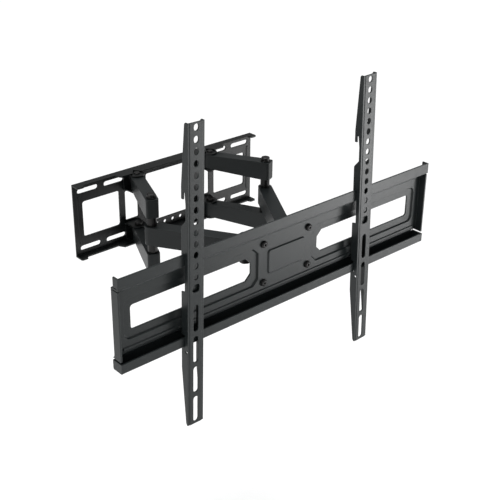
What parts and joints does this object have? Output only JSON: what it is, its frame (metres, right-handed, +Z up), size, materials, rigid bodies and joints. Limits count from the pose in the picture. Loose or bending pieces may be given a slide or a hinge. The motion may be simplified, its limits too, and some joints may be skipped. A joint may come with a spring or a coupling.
{
  "type": "tv wall mount",
  "caption": "Full motion TV wall mount: slotted wall plate, paired folding arms, swivel and tilt head, ribbed TV plate and upright hook-on TV brackets.",
  "frame": {"origin": "on the wall plate's back face, in the middle of its top band", "axes": "+X to the right as seen from the room, along the wall; +Y into the wall; +Z up"},
  "size_m": [0.61, 0.3072, 0.4512],
  "materials": {
    "black_coat": "black powder coat on sheet steel, fine orange peel, satin",
    "charcoal_coat": "charcoal powder coat on sheet steel, fine orange peel, satin",
    "arm_coat": "dark grey powder coat on pressed steel, satin",
    "black_zinc": "black zinc plate on steel fasteners",
    "black_nylon": "moulded black nylon"
  },
  "bodies": {
    "wall": {"wall_plate": "black_coat", "hinge_bracket_left_upper": "black_coat", "hinge_bracket_left_lower": "black_coat", "hinge_bracket_right_upper": "black_coat", "hinge_bracket_right_lower": "black_coat", "hinge_pin_left_upper": "black_zinc", "hinge_pin_left_lower": "black_zinc", "hinge_pin_right_upper": "black_zinc", "hinge_pin_right_lower": "black_zinc"},
    "wall_arms_left": {"wall_arm_left_upper": "arm_coat", "wall_arm_left_lower": "arm_coat", "elbow_spacer_left_upper": "black_zinc", "elbow_spacer_left_lower": "black_zinc", "elbow_bolt_left": "black_zinc", "elbow_washer_left": "black_zinc", "elbow_nut_left": "black_zinc"},
    "wall_arms_right": {"wall_arm_right_upper": "arm_coat", "wall_arm_right_lower": "arm_coat", "elbow_spacer_right_upper": "black_zinc", "elbow_spacer_right_lower": "black_zinc", "elbow_bolt_right": "black_zinc", "elbow_washer_right": "black_zinc", "elbow_nut_right": "black_zinc"},
    "front_arm_left": {"front_arm_left": "arm_coat"},
    "front_arm_right": {"front_arm_right": "arm_coat", "head_bolt_right": "black_zinc", "head_nut_right": "black_zinc"},
    "head": {"head_link": "arm_coat", "head_bolt_left": "black_zinc", "head_nut_left": "black_zinc", "swivel_bolt": "black_zinc", "swivel_nut": "black_zinc"},
    "swivel_head": {"swivel_bracket": "arm_coat", "tilt_bolt": "black_zinc", "tilt_knob": "black_nylon"},
    "tv_frame": {"tv_plate": "charcoal_coat", "tilt_bracket": "arm_coat", "plate_screw_1": "black_zinc", "plate_screw_2": "black_zinc", "plate_screw_3": "black_zinc", "plate_screw_4": "black_zinc", "plate_nut_1": "black_zinc", "plate_nut_2": "black_zinc", "plate_nut_3": "black_zinc", "plate_nut_4": "black_zinc"},
    "tv_bracket_left": {"tv_bracket_left": "charcoal_coat"},
    "tv_bracket_right": {"tv_bracket_right": "charcoal_coat"}
  },
  "joints": [
    {"name": "fold_left", "type": "hinge", "parent": "wall", "child": "wall_arms_left", "pos_m": [-0.075, -0.021, -0.053], "axis": [0, 0, -1], "range_deg": [-20, 40]},
    {"name": "elbow_left", "type": "hinge", "parent": "wall_arms_left", "child": "front_arm_left", "pos_m": [-0.116, -0.114, -0.053], "axis": [0, 0, 1], "range_deg": [-34.9, 69.3]},
    {"name": "head_pivot", "type": "hinge", "parent": "front_arm_left", "child": "head", "pos_m": [-0.039, -0.24, -0.053], "axis": [0, 0, -1], "range_deg": [-14.9, 29.3]},
    {"name": "fold_right", "type": "hinge", "parent": "wall", "child": "wall_arms_right", "pos_m": [0.075, -0.021, -0.053], "axis": [0, 0, 1], "range_deg": [-20.5, 40.5]},
    {"name": "elbow_right", "type": "hinge", "parent": "wall_arms_right", "child": "front_arm_right", "pos_m": [0.116, -0.114, -0.053], "axis": [0, 0, -1], "range_deg": [-34.9, 69.3]},
    {"name": "swivel", "type": "hinge", "parent": "head", "child": "swivel_head", "pos_m": [0, -0.254, -0.053], "axis": [0, 0, 1], "range_deg": [-25, 25]},
    {"name": "tilt", "type": "hinge", "parent": "swivel_head", "child": "tv_frame", "pos_m": [0, -0.272, -0.053], "axis": [1, 0, 0], "range_deg": [-5, 15]},
    {"name": "slide_left", "type": "slide", "parent": "tv_frame", "child": "tv_bracket_left", "axis": [1, 0, 0], "range_m": [-0.1, 0.1]},
    {"name": "slide_right", "type": "slide", "parent": "tv_frame", "child": "tv_bracket_right", "axis": [1, 0, 0], "range_m": [-0.08, 0.13]}
  ],
  "couplings": [
    {"joint": "elbow_left", "follows": "fold_left", "ratio": 1.72},
    {"joint": "head_pivot", "follows": "fold_left", "ratio": 0.72},
    {"joint": "fold_right", "follows": "fold_left", "ratio": 1},
    {"joint": "elbow_right", "follows": "fold_left", "ratio": 1.72}
  ]
}
